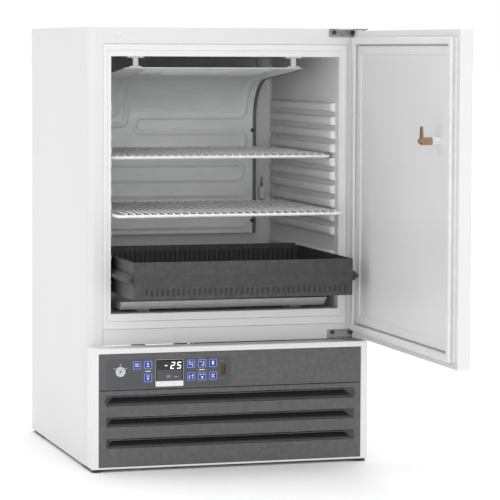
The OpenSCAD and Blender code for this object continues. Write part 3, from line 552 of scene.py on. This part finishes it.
def build_evaporator():
    """Roll-bonded sheet: a fine grid whose points rise over the channels, bent to its sloping L shape, with a
    dark strip down each side edge that is painted shadow.
    """
    step = 2.4
    across = np.linspace(-PLATE_HALF, PLATE_HALF, int(2 * PLATE_HALF / step) + 1)
    length = down_to(PLATE_LOW.z)
    along = np.linspace(0, length, int(length / step) + 1)
    u, s = np.meshgrid(across, along)
    distance = np.full(u.shape, 1e9)
    for line in channel_lines():
        for (ua, sa), (ub, sb) in zip(line, line[1:]):
            du, ds = ub - ua, sb - sa
            t = np.clip(((u - ua) * du + (s - sa) * ds) / max(du * du + ds * ds, 1e-9), 0, 1)
            distance = np.minimum(distance, np.hypot(u - ua - t * du, s - sa - t * ds))
    rise = np.clip((CHANNEL_HALF + CHANNEL_SLOPE - distance) / (2 * CHANNEL_SLOPE), 0, 1)
    rise = CHANNEL_HIGH * rise * rise * (3 - 2 * rise)
    front_round = 26.0
    to_front = (front_round - np.minimum(s, front_round)) / front_round
    u = u * (1 - (1 - np.sqrt(1 - to_front ** 2)) * front_round / PLATE_HALF)
    bm = bmesh.new()
    rows = []
    for i, reach in enumerate(along):
        row = []
        for j in range(len(across)):
            lift = PLATE_T + rise[i, j]
            if reach < ROOF_LEN:
                y = PLATE_LOW.y + 0.2 + reach * math.cos(TILT) - (lift - PLATE_T) * math.sin(TILT)
                z = PLATE_HIGH.z - reach * math.sin(TILT) - lift * math.cos(TILT)
            elif reach < ROOF_LEN + BEND_LEN:
                turn = math.pi / 2 - TILT - (reach - ROOF_LEN) / (BEND_R - PLATE_T)
                y = BEND_Y + (BEND_R - lift) * math.cos(turn)
                z = BEND_Z + (BEND_R - lift) * math.sin(turn)
            else:
                y, z = PLATE_HIGH.y - lift, BEND_Z - (reach - ROOF_LEN - BEND_LEN)
            row.append(bm.verts.new(mm(u[i, j], y, z)))
        rows.append(row)
    for first, second in zip(rows, rows[1:]):
        for a, b, c, d in zip(first, first[1:], second[1:], second):
            face = bm.faces.new((a, b, c, d))
            # The outermost strip on each side takes the dark edge material: painted shadow where the sheet's
            # edge meets the gap to the liner.
            face.material_index = int(abs(face.calc_center_median().x) > mm(PLATE_HALF - EDGE_SHADOW_WIDTH))
    bmesh.ops.recalc_face_normals(bm, faces=bm.faces)
    bm.faces.ensure_lookup_table()
    if bm.faces[0].normal.z > 0:
        bmesh.ops.reverse_faces(bm, faces=bm.faces)
    sheet = piece("evaporator_sheet", bm, "evaporator_plate", ["evaporator_plate"], sharp=60,
                  materials=[MAT["evaporator_aluminium"], PAINTED_EDGE_SHADOW])
    body = sheet.modifiers.new("thickness", "SOLIDIFY")
    body.thickness = mm(PLATE_T * 0.95)
    body.offset = -1
    return sheet


build_evaporator()
for node_name, edge in (("plate_hangers", 0.8), ("sensor_clip", 0.8), ("drip_tray", 0.9)):
    rounded_copy(node_name, edge, segments=3)
recoloured_copy("temperature_probe", 0.3, PROBE_GREY)
recoloured_copy("plate_screws", 0.5, DARK_STEEL)


# ---------- shelves and drawer ----------

def build_shelf(node):
    """Coated wire shelf: a heavy frame loop with rounded corners and thinner wires across its top."""
    low, high = box_mm(node)
    frame_r, wire_r, cross_r, corner = 3.0, 1.6, 2.0, 11.0
    frame_z = low.z + frame_r
    plane = high.z - wire_r
    half, front, back = high.x - frame_r, low.y + frame_r, high.y - frame_r
    bm = bmesh.new()
    loop = [(0, front)]
    for cx, cy, start in ((half - corner, front + corner, -90), (half - corner, back - corner, 0),
                          (-half + corner, back - corner, 90), (-half + corner, front + corner, 180)):
        loop += arc((cx, cy), corner, start, start + 90, 7)
    loop.append((0, front))
    add_tube(bm, [(x, y, frame_z) for x, y in loop], frame_r, 16)
    for y in (low.y + 130, low.y + 250):
        z = plane - wire_r - cross_r + 0.4
        add_tube(bm, [(-half, y, z), (half, y, z)], cross_r, 12)
    pitch, count = 15.0, 27
    for k in range(count + 1):
        x = (k - count / 2) * pitch
        tip = arc((front + 1.5, plane - 1.5), 1.5, 180, 90, 3)
        add_tube(bm, [(x, front, frame_z + 1)] + [(x, y, z) for y, z in tip] + [(x, back, plane)], wire_r, 10)
    bmesh.ops.recalc_face_normals(bm, faces=bm.faces)
    return piece(f"{node}_wires", bm, node, [node], sharp=50)


build_shelf("shelf_upper")
build_shelf("shelf_lower")
rounded_copy("tray", 0.7, segments=2, sharp=30)


def build_tray_groove_shade():
    """Painted shade for the grooves between the flutes on the drawer's front and down its inner walls: thin
    near-black marks on the surface.
    """
    low, high = box_mm("tray")
    pitch, first_x = 10, -195
    front_count, front_half, front_z = 39, 1.6, (333, 344.5)
    inner_count, inner_half, inner_z = 40, 2.4, (337, 389)
    front = low.y + 1.5
    inner = high.y - 4.3
    bm = bmesh.new()
    for k in range(front_count):
        x = first_x + pitch * (k + 1)
        add_box(bm, (x - front_half, front - 0.12, front_z[0]), (x + front_half, front + 0.5, front_z[1]))
    for k in range(inner_count):
        x = first_x + pitch * k
        add_box(bm, (x - inner_half, inner - 0.14, inner_z[0]), (x + inner_half, inner + 0.3, inner_z[1]))
    bmesh.ops.recalc_face_normals(bm, faces=bm.faces)
    return piece("tray_groove_shade", bm, "tray", materials=[TRAY_SHADE], bevel=0.1)


def build_tray_ridge():
    """The moulded ridge across the drawer's front, level with its side tongues and slanting in below."""
    low, high = box_mm("tray")
    top, brow, foot = 367, 364, 348
    proud = low.y - 1.2
    flush, inside = low.y + 1.45, low.y + 3
    end_inset = 3.4
    profile = [(proud, top), (proud, brow), (flush, foot), (inside, foot), (inside, top)]
    ends = []
    bm = bmesh.new()
    for x in (low.x + end_inset, high.x - end_inset):
        ends.append([bm.verts.new(mm(x, y, z)) for y, z in profile])
    count = len(profile)
    for k in range(count):
        bm.faces.new((ends[0][k], ends[0][(k + 1) % count], ends[1][(k + 1) % count], ends[1][k]))
    bm.faces.new(ends[0])
    bm.faces.new(list(reversed(ends[1])))
    bmesh.ops.recalc_face_normals(bm, faces=bm.faces)
    return piece("tray_ridge", bm, "tray", bevel=0.4)


build_tray_groove_shade()
build_tray_ridge()
rounded_copy("tray_runners", 0.8, segments=3)


# ---------- hinges ----------

for node_name, edge in (("hinge_brackets", 0.7), ("hinge_pins", 0.4), ("door_bushes", 0.4)):
    rounded_copy(node_name, edge, segments=3)
recoloured_copy("hinge_screws", 0.3, DARK_STEEL)


# ---------- door ----------

for node_name, edge in (("door_shell", 0.45), ("door_liner", 1.1), ("lock_collar", 0.6),
                        ("lock_barrel", 0.6)):
    rounded_copy(node_name, edge, segments=3)


def build_gasket():
    """Magnetic seal swept round the door: foot, folded neck and the soft sealing bead."""
    low, high = box_mm("door_gasket")
    face = high.x
    reach = high.x - low.x
    half_y = (high.y - low.y) / 2
    mid_y = (high.y + low.y) / 2
    half_z = (high.z - low.z) / 2
    mid_z = (high.z + low.z) / 2
    across = 13.0
    # (inset from the outer edge, height off the door), both as shares
    outline = [(0.0, 0.0), (0.0, 0.14), (0.06, 0.24), (0.24, 0.36), (0.30, 0.46), (0.22, 0.54), (0.05, 0.60),
               (0.0, 0.70), (0.0, 0.86), (0.07, 0.97), (0.25, 1.0), (0.42, 0.985), (0.58, 0.985), (0.75, 1.0),
               (0.93, 0.97), (1.0, 0.86), (1.0, 0.70), (0.95, 0.60), (0.78, 0.54), (0.70, 0.46), (0.76, 0.36),
               (0.94, 0.24), (1.0, 0.14), (1.0, 0.0)]
    bm = bmesh.new()
    rings = []
    for inset, height in outline:
        x = face - reach * height
        hy, hz = half_y - inset * across, half_z - inset * across
        rings.append([bm.verts.new(mm(x, mid_y + sy * hy, mid_z + sz * hz))
                      for sy, sz in ((-1, -1), (1, -1), (1, 1), (-1, 1))])
    for first, second in zip(rings, rings[1:] + rings[:1]):
        for k in range(4):
            n = (k + 1) % 4
            bm.faces.new((first[k], first[n], second[n], second[k]))
    bmesh.ops.recalc_face_normals(bm, faces=bm.faces)
    return piece("door_seal", bm, "door_gasket", ["door_gasket"], sharp=50)


build_gasket()


# ---------- front panel ----------

for node_name, edge in (("control_strip", 0.8), ("keypad_overlay", 0.15), ("card_slot", 0.25),
                        ("key_switch_housing", 0.5), ("circuit_board", 0.3)):
    rounded_copy(node_name, edge, segments=3)
recoloured_copy("grille_screws", 0.3, DARK_STEEL)


def flat_shape(bm, points, y, depth, material):
    """A thin raised shape on a front-facing surface, from (x, z) points in millimetres."""
    add_slab(bm, points, y - depth, y + 0.05, material)


def bar(cx, cz, width, height):
    """An upright or level bar's corners."""
    return [(cx - width / 2, cz - height / 2), (cx + width / 2, cz - height / 2),
            (cx + width / 2, cz + height / 2), (cx - width / 2, cz + height / 2)]


def triangle(cx, cz, size, up):
    """A triangle's corners, pointing up or down."""
    s = 1 if up else -1
    points = [(cx - size / 2, cz - s * size / 2), (cx + size / 2, cz - s * size / 2), (cx, cz + s * size / 2)]
    return points if up else list(reversed(points))


def slanted(cx, cz, width, height, lean):
    """A leaning bar, used for a cross and for the digits' upright segments."""
    return [(cx - width / 2 - lean, cz - height / 2), (cx + width / 2 - lean, cz - height / 2),
            (cx + width / 2 + lean, cz + height / 2), (cx - width / 2 + lean, cz + height / 2)]


KEY_SYMBOLS = {
    "key_1": [bar(0, 2.2, 8, 1.6), bar(0, -1.6, 8, 1.6)],
    "key_2": [triangle(0, 2.8, 5, True), bar(0, -3.0, 6, 1.4)],
    "key_3": [bar(0, 3.2, 6, 1.4), triangle(0, -2.6, 5, False)],
    "key_4": [bar(-2.8, 2.8, 2, 4), bar(2.6, 2.8, 4, 1.3), bar(0, -1.0, 8, 1.2), bar(2.8, -3.6, 2, 2.4)],
    "key_5": [bar(-2.6, 3.4, 4, 1.3), bar(2.8, 0, 1.8, 8), bar(0, -3.6, 2, 2)],
    "key_6": [bar(0, 0.4, 4.2, 7)],
    "key_7": [bar(-3, -0.6, 1.8, 7), bar(2.8, 1.6, 2.6, 3.6), bar(2.8, -3.0, 1.4, 2.6)],
    "key_8": [bar(-3, 3, 3, 2), bar(3, 3, 2.4, 2.4), bar(0.4, -2.4, 3.8, 3.8)],
    "key_9": [slanted(0, 0, 2, 7, 2.6), slanted(0, 0, 2, 7, -2.6)],
}


def build_key(node):
    """A membrane key: blue cap, pale outline and a plain symbol."""
    low, high = box_mm(node)
    cx, cz = (low.x + high.x) / 2, (low.z + high.z) / 2
    width = high.x - low.x
    bm = bmesh.new()
    add_slab(bm, rounded_outline(cx, cz, width, width, 2.5), low.y + 0.1, high.y, 0)
    add_slab(bm, rounded_outline(cx, cz, width - 0.2, width - 0.2, 2.5), low.y, low.y + 0.3, 1,
             hole=rounded_outline(cx, cz, width - 2.4, width - 2.4, 1.6))
    for shape in KEY_SYMBOLS[node]:
        flat_shape(bm, [(cx + x, cz + z) for x, z in shape], low.y + 0.1, 0.08, 2)
    bmesh.ops.recalc_face_normals(bm, faces=bm.faces)
    return piece(f"{node}_cap", bm, node, [node], materials=[MAT["key_blue"], KEY_LINE, PRINT_WHITE],
                 bevel=0.15, sharp=50)


for key in sorted(KEY_SYMBOLS):
    build_key(key)


def build_panel_print():
    """Printed marks on the film: dots round the switch, brackets round key pairs and round the card slot."""
    bm = bmesh.new()
    switch_low, switch_high = box_mm("key_switch_housing")
    sx, sz = (switch_low.x + switch_high.x) / 2, (switch_low.z + switch_high.z) / 2
    for dx, dz in ((0, 12.7), (-10.8, 6), (10.8, 6)):
        dot = [(sx + dx + a, sz + dz + b) for a, b in arc((0, 0), 1.0, 0, 330, 11)]
        flat_shape(bm, dot, PANEL_Y, 0.06, 0)
    for upper, lower in (("key_2", "key_3"), ("key_5", "key_8")):
        u_low, u_high = box_mm(upper)
        l_low, _ = box_mm(lower)
        cx, cz = (u_low.x + u_high.x) / 2, (u_high.z + l_low.z) / 2
        width, height = u_high.x - u_low.x + 3.6, u_high.z - l_low.z + 3.6
        add_slab(bm, rounded_outline(cx, cz, width, height, 3.4), PANEL_Y - 0.06, PANEL_Y + 0.05, 1,
                 hole=rounded_outline(cx, cz, width - 1.0, height - 1.0, 2.9))
        flat_shape(bm, bar(cx, cz, 11, 1.5), PANEL_Y, 0.07, 0)
    c_low, c_high = box_mm("card_slot")
    for z in (c_low.z - 4, c_high.z + 4):
        flat_shape(bm, bar((c_low.x + c_high.x) / 2 - 3, z, 9, 0.9), PANEL_Y, 0.06, 1)
    k_low, k_high = box_mm("key_6")
    flat_shape(bm, bar((k_low.x + k_high.x) / 2, k_low.z - 4.0, 3, 0.9), PANEL_Y, 0.06, 1)
    bmesh.ops.recalc_face_normals(bm, faces=bm.faces)
    return piece("panel_print", bm, "keypad_overlay", materials=[PRINT_WHITE, PRINT_GREY])


build_panel_print()


def build_display():
    """Display: pale outline, black digit window, grey field with two indicators, blank white strip."""
    low, high = box_mm("display_bezel")
    cx, cz = (low.x + high.x) / 2, (low.z + high.z) / 2
    width, height = high.x - low.x, high.z - low.z
    bm = bmesh.new()
    add_slab(bm, rounded_outline(cx, cz, width, height, 1.5), low.y, low.y + 2.2, 1,
             hole=rounded_outline(cx, cz, width - 2.2, height - 2.2, 1.0))
    add_slab(bm, rounded_outline(cx, cz, width - 2.1, height - 2.1, 1.0), low.y + 0.5, high.y, 4)
    add_slab(bm, rounded_outline(cx, high.z - 11.5, width - 4.5, 17, 0.6), low.y + 0.38, low.y + 0.6, 0)
    add_slab(bm, rounded_outline(cx, low.z + 5.2, width - 1.2, 9.6, 0.5), low.y - 0.02, low.y + 0.6, 2)
    for k in range(4):
        flat_shape(bm, bar(cx - 1.8 + k * 1.9 - 2.4, cz - 6.8, 1.0, 5.0), low.y + 0.5, 0.05, 1)
    flat_shape(bm, bar(cx + 12.6, cz - 7.8, 8, 1.6), low.y + 0.5, 0.05, 1)
    lamp = [(cx + 13.4 + a, cz - 2.6 + b) for a, b in arc((0, 0), 1.6, 0, 330, 11)]
    flat_shape(bm, lamp, low.y + 0.5, 0.12, 3)
    bmesh.ops.recalc_face_normals(bm, faces=bm.faces)
    return piece("display_window", bm, "display_bezel", ["display_bezel"],
                 materials=[MAT["display_black"], BADGE_GREY, PRINT_WHITE, PRINT_RED, MAT["overlay_film"]])


def build_digits():
    """A minus sign and the leaning seven-segment figures two and five."""
    bezel_low, bezel_high = box_mm("display_bezel")
    right, cz = bezel_high.x, bezel_high.z - 11.7
    face = bezel_low.y + 0.36
    height, thick, wide, lean = 12.6, 1.35, 7.2, 0.16
    bm = bmesh.new()

    def upright(x, z):
        flat_shape(bm, slanted(x + (z - cz) * lean, z, thick, height / 2 - 1.4, lean * 2.8), face, 0.2, 0)

    def level(x, z):
        flat_shape(bm, bar(x + (z - cz) * lean, z, wide - 1.4, thick), face, 0.2, 0)

    five, two, minus = right - 8.4, right - 20.6, right - 33.4
    for x in (two, five):
        for z in (cz - height / 2 + thick / 2, cz, cz + height / 2 - thick / 2):
            level(x, z)
    upper, lower = cz + height / 4, cz - height / 4
    upright(two + wide / 2 - 0.6, upper)
    upright(two - wide / 2 + 0.6, lower)
    upright(five - wide / 2 + 0.6, upper)
    upright(five + wide / 2 - 0.6, lower)
    flat_shape(bm, bar(minus, cz, 4.6, thick), face, 0.2, 0)
    bmesh.ops.recalc_face_normals(bm, faces=bm.faces)
    return piece("display_figures", bm, "display_digits", ["display_digits"])


build_display()
build_digits()


def build_switch_barrel():
    """Key-switch barrel with a slanting key slot and a turned ring."""
    low, high = box_mm("key_switch_barrel")
    cx, cz = (low.x + high.x) / 2, (low.z + high.z) / 2
    bm = bmesh.new()
    circle = arc((cx, cz), 5.0, 0, 352.5, 47)
    inner = arc((cx, cz), 3.9, 0, 352.5, 47)
    add_slab(bm, circle, low.y + 0.3, high.y, 0)
    add_slab(bm, circle, low.y, low.y + 0.5, 0, hole=inner)
    turn = math.radians(38)
    slot = []
    for x, z in arc((0, 0), 1.0, 0, 345, 23):
        a, b = x * 2.9, z * 1.1
        slot_x = cx + a * math.cos(turn) - b * math.sin(turn)
        slot_z = cz + a * math.sin(turn) + b * math.cos(turn)
        slot.append((slot_x, slot_z))
    # The key slot is a thin near-black disc: painted shade inside the slot.
    add_slab(bm, slot, low.y + 0.25, low.y + 0.5, 1)
    bmesh.ops.recalc_face_normals(bm, faces=bm.faces)
    return piece("switch_barrel_turned", bm, "key_switch_barrel", ["key_switch_barrel"],
                 materials=[MAT["switch_metal"], PAINTED_GAP_SHADE], sharp=40)


build_switch_barrel()


# Where the hood floor's painted shade steps darker: plain moulding, then painted mid shade, then painted deep
# shade towards the throat.
SHADE_STEPS = (0, 0.22, 0.36, 1)


def build_grille():
    """Grille moulding: a face with three long hoods, each a sloping floor, two slanting cheeks and a bar. The
    floor is painted darker in steps towards the back: painted shade in the hood.
    """
    low, high = box_mm("grille")
    face, back = low.y, high.y
    half = high.x
    wall = 2.5
    slot_half = half - 13.3
    slots = [(122.7, 142.3), (83.8, 102.0), (44.0, 62.0)]
    limits = [high.z, 112.5, 73.0, low.z]
    depth, cheek_slant = 17.0, 16.0
    bm = bmesh.new()
    for (z0, z1), top, bottom in zip(slots, limits, limits[1:]):
        cz, height = (z0 + z1) / 2, z1 - z0
        outer = rounded_outline(0, (top + bottom) / 2, 2 * half, top - bottom, 0.02)
        add_slab(bm, outer, face, face + wall, 0, hole=rounded_outline(0, cz, 2 * slot_half, height, 1.6))
        lip, throat = z0 + 0.4, z1 - 5.0
        near, far = face + wall - 0.4, face + depth
        far_half = slot_half - cheek_slant
        # f and t are the slot's front edge, low and high; b and x are the throat's, low and high
        corner = {key: bm.verts.new(mm(*value)) for key, value in {
            "fl": (-slot_half, near, lip), "fr": (slot_half, near, lip),
            "bl": (-far_half, far, throat), "br": (far_half, far, throat),
            "tl": (-slot_half, near, z1), "tr": (slot_half, near, z1),
            "xl": (-far_half, far, z1 + 1), "xr": (far_half, far, z1 + 1)}.items()}
        for names in (("fl", "bl", "xl", "tl"), ("fr", "tr", "xr", "br")):
            bm.faces.new([corner[n] for n in names])
        left_edge = [corner["fl"].co.lerp(corner["bl"].co, t) for t in SHADE_STEPS]
        right_edge = [corner["fr"].co.lerp(corner["br"].co, t) for t in SHADE_STEPS]
        # Each floor strip further back takes a darker material: painted shade inside the hood.
        for k in range(3):
            strip = [left_edge[k], right_edge[k], right_edge[k + 1], left_edge[k + 1]]
            bm.faces.new([bm.verts.new(p) for p in strip]).material_index = k
        add_tube(bm, [(-slot_half, face + 1.8, z1 - 2.6), (slot_half, face + 1.8, z1 - 2.6)], 0.8, 8)
    for x0, x1 in ((-half, -half + wall), (half - wall, half)):
        add_box(bm, (x0, face + wall, low.z), (x1, back, high.z))
    for z0, z1 in ((low.z, low.z + wall), (high.z - wall, high.z)):
        add_box(bm, (-half + wall, face + wall, z0), (half - wall, back, z1))
    bmesh.ops.recalc_face_normals(bm, faces=bm.faces)
    return piece("grille_moulding", bm, "grille", ["grille"], sharp=35,
                 materials=[MAT["grey_plastic"], PAINTED_SHADE_GREY, PAINTED_GAP_SHADE])


build_grille()


# ---------- machine compartment ----------

for node_name, edge in (("compressor", 2.5), ("compressor_mounts", 0.8), ("terminal_box", 2.0),
                        ("fan_motor", 1.5), ("fan_blade", 0.5), ("evaporation_pan", 0.8),
                        ("suction_pipe", 0.0), ("condenser", 0.0)):
    rounded_copy(node_name, edge, segments=3)


# ---------- floor, light and camera ----------

def build_floor():
    """A pale floor that reaches past everything the camera sees."""
    bm = bmesh.new()
    bmesh.ops.create_grid(bm, x_segments=2, y_segments=2, size=90)
    mesh = bpy.data.meshes.new("floor")
    bm.to_mesh(mesh)
    bm.free()
    floor = bpy.data.objects.new("floor", mesh)
    bpy.context.scene.collection.objects.link(floor)
    mesh.materials.append(surface("pale_floor", (0.9, 0.9, 0.9), 0.6, grain=40, relief=0.0001, strength=0.05,
                                  mottle=0.004, patch=1.5))


def add_area(name, place, target, size, power):
    """A soft rectangular light in metres and watts, turned towards a target."""
    light = bpy.data.lights.new(name, "AREA")
    light.shape = "RECTANGLE"
    light.size, light.size_y = size
    light.energy = power
    obj = bpy.data.objects.new(name, light)
    bpy.context.scene.collection.objects.link(obj)
    obj.location = place
    obj.rotation_euler = (Vector(target) - Vector(place)).to_track_quat("-Z", "Y").to_euler()


def build_light():
    """Even white surroundings, a wide front light, a faint one on the left and a soft one overhead."""
    world = bpy.data.worlds.new("studio")
    bpy.context.scene.world = world
    world.use_nodes = True
    world.node_tree.nodes["Background"].inputs["Color"].default_value = (1, 1, 1, 1)
    world.node_tree.nodes["Background"].inputs["Strength"].default_value = 1.0
    add_area("front_soft", (-0.7, -4.2, 0.9), (0, 0, 0.45), (2.4, 1.8), 27)
    add_area("left_soft", (-3.4, -1.4, 1.1), (0.2, -0.5, 0.5), (2.0, 1.8), 1)
    overhead = bpy.data.lights.new("overhead", "SUN")
    overhead.energy = 1.1
    overhead.angle = math.radians(50)
    lamp = bpy.data.objects.new("overhead", overhead)
    bpy.context.scene.collection.objects.link(lamp)
    lamp.location = (0, 0, 4)
    bpy.context.scene.view_settings.view_transform = "Standard"
    bpy.context.scene.view_settings.look = "None"


def build_camera():
    """A long lens in front and to the left, a little below the cabinet's top."""
    camera = bpy.data.objects.new("camera", bpy.data.cameras.new("camera"))
    bpy.context.scene.collection.objects.link(camera)
    camera.data.sensor_width = 36
    camera.data.lens = 180.4
    camera.data.shift_y = -0.12
    camera.location = mm(-1311.3, -4727.7, 779.0)
    yaw, pitch, roll = math.radians(16.778), math.radians(-3.196), math.radians(0.271)
    forward = Vector((math.sin(yaw) * math.cos(pitch), math.cos(yaw) * math.cos(pitch), math.sin(pitch)))
    right = Vector((math.cos(yaw), -math.sin(yaw), 0))
    up = right.cross(forward)
    level_right = right * math.cos(roll) + up * math.sin(roll)
    level_up = up * math.cos(roll) - right * math.sin(roll)
    camera.matrix_world = Matrix((
        (level_right.x, level_up.x, -forward.x, camera.location.x),
        (level_right.y, level_up.y, -forward.y, camera.location.y),
        (level_right.z, level_up.z, -forward.z, camera.location.z),
        (0, 0, 0, 1)))
    camera.data.clip_start, camera.data.clip_end = 0.1, 200
    bpy.context.scene.camera = camera


build_floor()
build_light()
build_camera()
